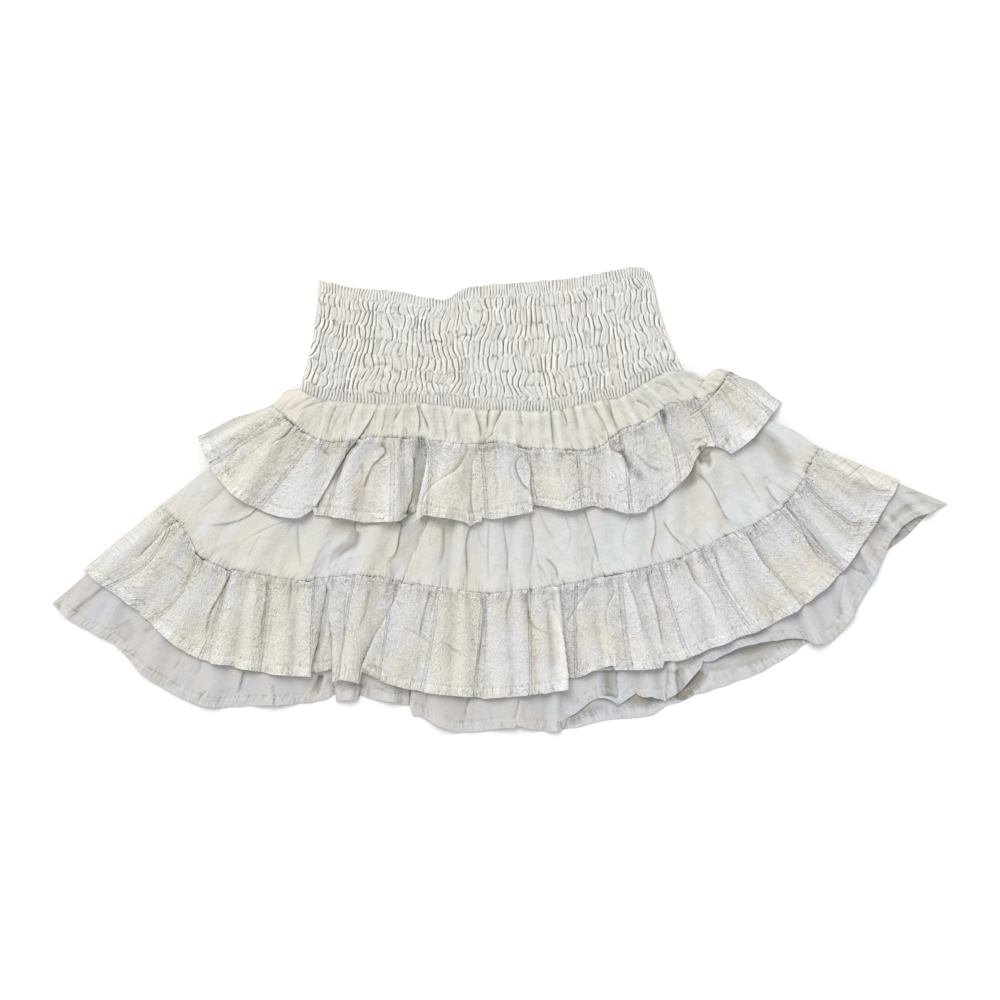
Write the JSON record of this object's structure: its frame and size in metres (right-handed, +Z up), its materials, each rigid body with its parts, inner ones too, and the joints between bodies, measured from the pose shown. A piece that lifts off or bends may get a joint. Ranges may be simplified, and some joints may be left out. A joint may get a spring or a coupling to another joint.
{
  "type": "tiered ruffle skirt",
  "caption": "Short tiered skirt laid flat: smocked waistband, gathered yokes with ruffled hems, and a plain lining that shows below them.",
  "frame": {"origin": "middle of the skirt's footprint, on the surface that it lies on", "axes": "+X across the skirt, +Y from the hems towards the waistband, +Z up from the surface, through the back and then the front"},
  "size_m": [0.734, 0.3802, 0.0229],
  "materials": {
    "smocked_voile": "cream cotton voile, shirred on rows of elastic thread",
    "cream_voile": "plain cream cotton voile, matt and slightly sheer",
    "figured_cotton": "cream crinkled cotton with woven stripes and sprigs",
    "lining_voile": "plain voile lining, a little greyer than the skirt"
  },
  "bodies": {
    "root": {"waistband_front": "smocked_voile", "waistband_back": "smocked_voile", "upper_yoke_front": "cream_voile", "upper_yoke_back": "cream_voile", "upper_ruffle_front": "figured_cotton", "upper_ruffle_back": "figured_cotton", "lower_yoke_front": "cream_voile", "lower_yoke_back": "cream_voile", "lower_ruffle_front": "figured_cotton", "lower_ruffle_back": "figured_cotton", "lining_front": "lining_voile", "lining_back": "lining_voile"}
  },
  "joints": []
}
